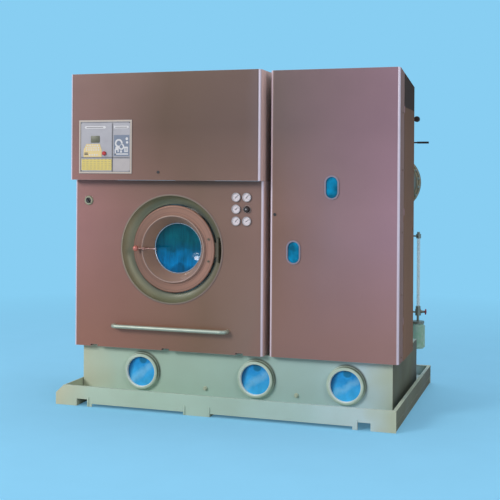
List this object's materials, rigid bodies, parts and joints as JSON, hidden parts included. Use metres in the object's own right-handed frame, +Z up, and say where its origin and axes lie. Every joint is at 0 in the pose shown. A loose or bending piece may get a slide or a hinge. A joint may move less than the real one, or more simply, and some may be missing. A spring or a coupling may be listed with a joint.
{
  "type": "dry cleaning machine",
  "caption": "Free-standing dry cleaning machine: drum with round loading door, hinged upper flap, service cabinet, solvent tank with inspection windows, on a drip tray.",
  "frame": {"origin": "on the floor under the middle of the drip tray", "axes": "+X to the right seen from the loading side, +Y to the back, +Z up; the front faces -Y"},
  "size_m": [2.16, 1.448, 2.105],
  "materials": {
    "base_paint": "satin grey-green",
    "frame_paint": "satin",
    "body_paint": "semi-gloss metallic bronze",
    "surround_paint": "glossy olive",
    "door_metal": "glossy bronze",
    "vessel_paint": "satin",
    "motor_paint": "satin",
    "red_paint": "gloss",
    "steel": "brushed",
    "stainless": "brushed",
    "pipe_steel": "drawn",
    "galvanized": "galvanised",
    "dark_metal": "blackened",
    "chrome_trim": "bright",
    "aluminium": "mill",
    "cast_iron": "painted dark",
    "copper": "glossy copper",
    "legend": "printed foil",
    "dial_white": "matt",
    "red_plastic": "gloss",
    "dark_plastic": "fine grain",
    "rubber": "matt",
    "sight_glass": "clear",
    "door_glass": "tinted",
    "lens": "clear",
    "jar_glass": "cloudy",
    "tube_glass": "milky"
  },
  "bodies": {
    "machine": {"drip_tray": "base_paint", "base_tank": "base_paint", "window_rings": "base_paint", "window_glasses": "sight_glass", "suction_pipes": "steel", "drain_plugs": "steel", "chassis_frame": "frame_paint", "side_panels": "body_paint", "lower_front_panel": "body_paint", "door_surround": "surround_paint", "upper_housing": "body_paint", "gauge_cases": "chrome_trim", "gauge_dials": "dial_white", "gauge_lenses": "lens", "switch_bezel": "chrome_trim", "bar_handle": "steel", "cabinet_shell": "body_paint", "hinge_bracket": "steel", "outer_tub": "stainless", "bearing_housing": "cast_iron", "drive_belt": "rubber", "drive_motor": "motor_paint", "fan_housing": "galvanized", "fan_motor": "motor_paint", "air_battery": "aluminium", "still_vessel": "stainless", "filter_vessel": "vessel_paint", "solvent_pump": "motor_paint", "separator_jar": "jar_glass", "sight_tube": "tube_glass", "pipework": "pipe_steel"},
    "loading_door": {"loading_door": "door_metal", "door_glass": "door_glass", "glass_ring": "chrome_trim", "door_gasket": "rubber", "hinge_arm": "steel"},
    "latch": {"latch_lever": "copper"},
    "upper_flap": {"upper_flap": "body_paint", "control_plate": "steel", "panel_overlays": "legend"},
    "flap_lock": {"flap_lock": "dark_plastic"},
    "stop_button": {"stop_button": "red_plastic"},
    "service_door": {"service_door": "body_paint", "sight_frames": "chrome_trim", "sight_glasses": "sight_glass"},
    "service_lock": {"service_lock": "dark_plastic"},
    "needle_1": {"gauge_needle_1": "dark_metal"},
    "needle_2": {"gauge_needle_2": "dark_metal"},
    "needle_3": {"gauge_needle_3": "dark_metal"},
    "needle_4": {"gauge_needle_4": "dark_metal"},
    "needle_5": {"gauge_needle_5": "dark_metal"},
    "timer_knob": {"timer_knob": "dark_plastic"},
    "switch_knob": {"switch_knob": "dark_plastic"},
    "drum": {"wash_drum": "stainless", "drum_pulley": "cast_iron"},
    "motor_pulley": {"motor_pulley": "cast_iron"},
    "fan_wheel": {"fan_wheel": "aluminium"},
    "handwheel": {"handwheel": "red_paint"},
    "steam_lever": {"steam_lever": "dark_plastic"},
    "regulator_knob": {"regulator_knob": "dark_plastic"}
  },
  "joints": [
    {"name": "loading_door_hinge", "type": "hinge", "parent": "machine", "child": "loading_door", "pos_m": [-0.079, -0.494, 0.984], "axis": [0, 0, 1], "range_deg": [0, 135]},
    {"name": "latch_turn", "type": "hinge", "parent": "loading_door", "child": "latch", "pos_m": [-0.57, -0.525, 0.984], "axis": [0, 1, 0], "range_deg": [0, 60]},
    {"name": "upper_flap_hinge", "type": "hinge", "parent": "machine", "child": "upper_flap", "pos_m": [-0.417, -0.525, 2.1015], "axis": [-1, 0, 0], "range_deg": [0, 80]},
    {"name": "flap_lock_turn", "type": "hinge", "parent": "upper_flap", "child": "flap_lock", "pos_m": [-0.444, -0.595, 1.47], "axis": [0, 1, 0], "range_deg": [-90, 0]},
    {"name": "stop_button_press", "type": "slide", "parent": "upper_flap", "child": "stop_button", "axis": [0, 1, 0], "range_m": [0, 0.004], "stiffness_N_per_m": 300},
    {"name": "service_door_hinge", "type": "hinge", "parent": "machine", "child": "service_door", "pos_m": [1.0585, -0.3725, 1.219], "axis": [0, 0, 1], "range_deg": [0, 110]},
    {"name": "service_lock_turn", "type": "hinge", "parent": "service_door", "child": "service_lock", "pos_m": [0.298, -0.524, 1.216], "axis": [0, 1, 0], "range_deg": [0, 90]},
    {"name": "needle_1_turn", "type": "hinge", "parent": "machine", "child": "needle_1", "pos_m": [0.05, -0.5304, 1.318], "axis": [0, 1, 0], "range_deg": [-183, 87]},
    {"name": "needle_2_turn", "type": "hinge", "parent": "machine", "child": "needle_2", "pos_m": [0.119, -0.5304, 1.318], "axis": [0, 1, 0], "range_deg": [-175, 95]},
    {"name": "needle_3_turn", "type": "hinge", "parent": "machine", "child": "needle_3", "pos_m": [0.05, -0.5304, 1.2445], "axis": [0, 1, 0], "range_deg": [-187, 83]},
    {"name": "needle_4_turn", "type": "hinge", "parent": "machine", "child": "needle_4", "pos_m": [0.05, -0.5304, 1.171], "axis": [0, 1, 0], "range_deg": [-179, 91]},
    {"name": "needle_5_turn", "type": "hinge", "parent": "machine", "child": "needle_5", "pos_m": [0.119, -0.5304, 1.171], "axis": [0, 1, 0], "range_deg": [-191, 79]},
    {"name": "timer_turn", "type": "hinge", "parent": "machine", "child": "timer_knob", "pos_m": [0.119, -0.524, 1.2445], "axis": [0, 1, 0], "range_deg": [0, 300]},
    {"name": "switch_turn", "type": "hinge", "parent": "machine", "child": "switch_knob", "pos_m": [-0.959, -0.524, 1.286], "axis": [0, 1, 0], "range_deg": [0, 90]},
    {"name": "drum_spin", "type": "hinge", "parent": "machine", "child": "drum", "pos_m": [-0.382, 0, 0.984], "axis": [0, 1, 0], "continuous": true},
    {"name": "motor_pulley_spin", "type": "hinge", "parent": "machine", "child": "motor_pulley", "pos_m": [-0.1, 0.3, 0.47], "axis": [0, 1, 0], "continuous": true},
    {"name": "fan_spin", "type": "hinge", "parent": "machine", "child": "fan_wheel", "pos_m": [-0.15, -0.3, 1.77], "axis": [0, 1, 0], "continuous": true},
    {"name": "handwheel_turn", "type": "hinge", "parent": "machine", "child": "handwheel", "pos_m": [1.055, 0.577, 0.519], "axis": [1, 0, 0], "range_deg": [0, 720]},
    {"name": "steam_lever_turn", "type": "hinge", "parent": "machine", "child": "steam_lever", "pos_m": [0.953, 0.57, 1.69], "axis": [0, 1, 0], "range_deg": [0, 90]},
    {"name": "regulator_turn", "type": "hinge", "parent": "machine", "child": "regulator_knob", "pos_m": [1.005, 0.52, 1.849], "axis": [0, 1, 0], "range_deg": [0, 720]}
  ],
  "couplings": [
    {"joint": "motor_pulley_spin", "follows": "drum_spin", "ratio": 4.6}
  ]
}
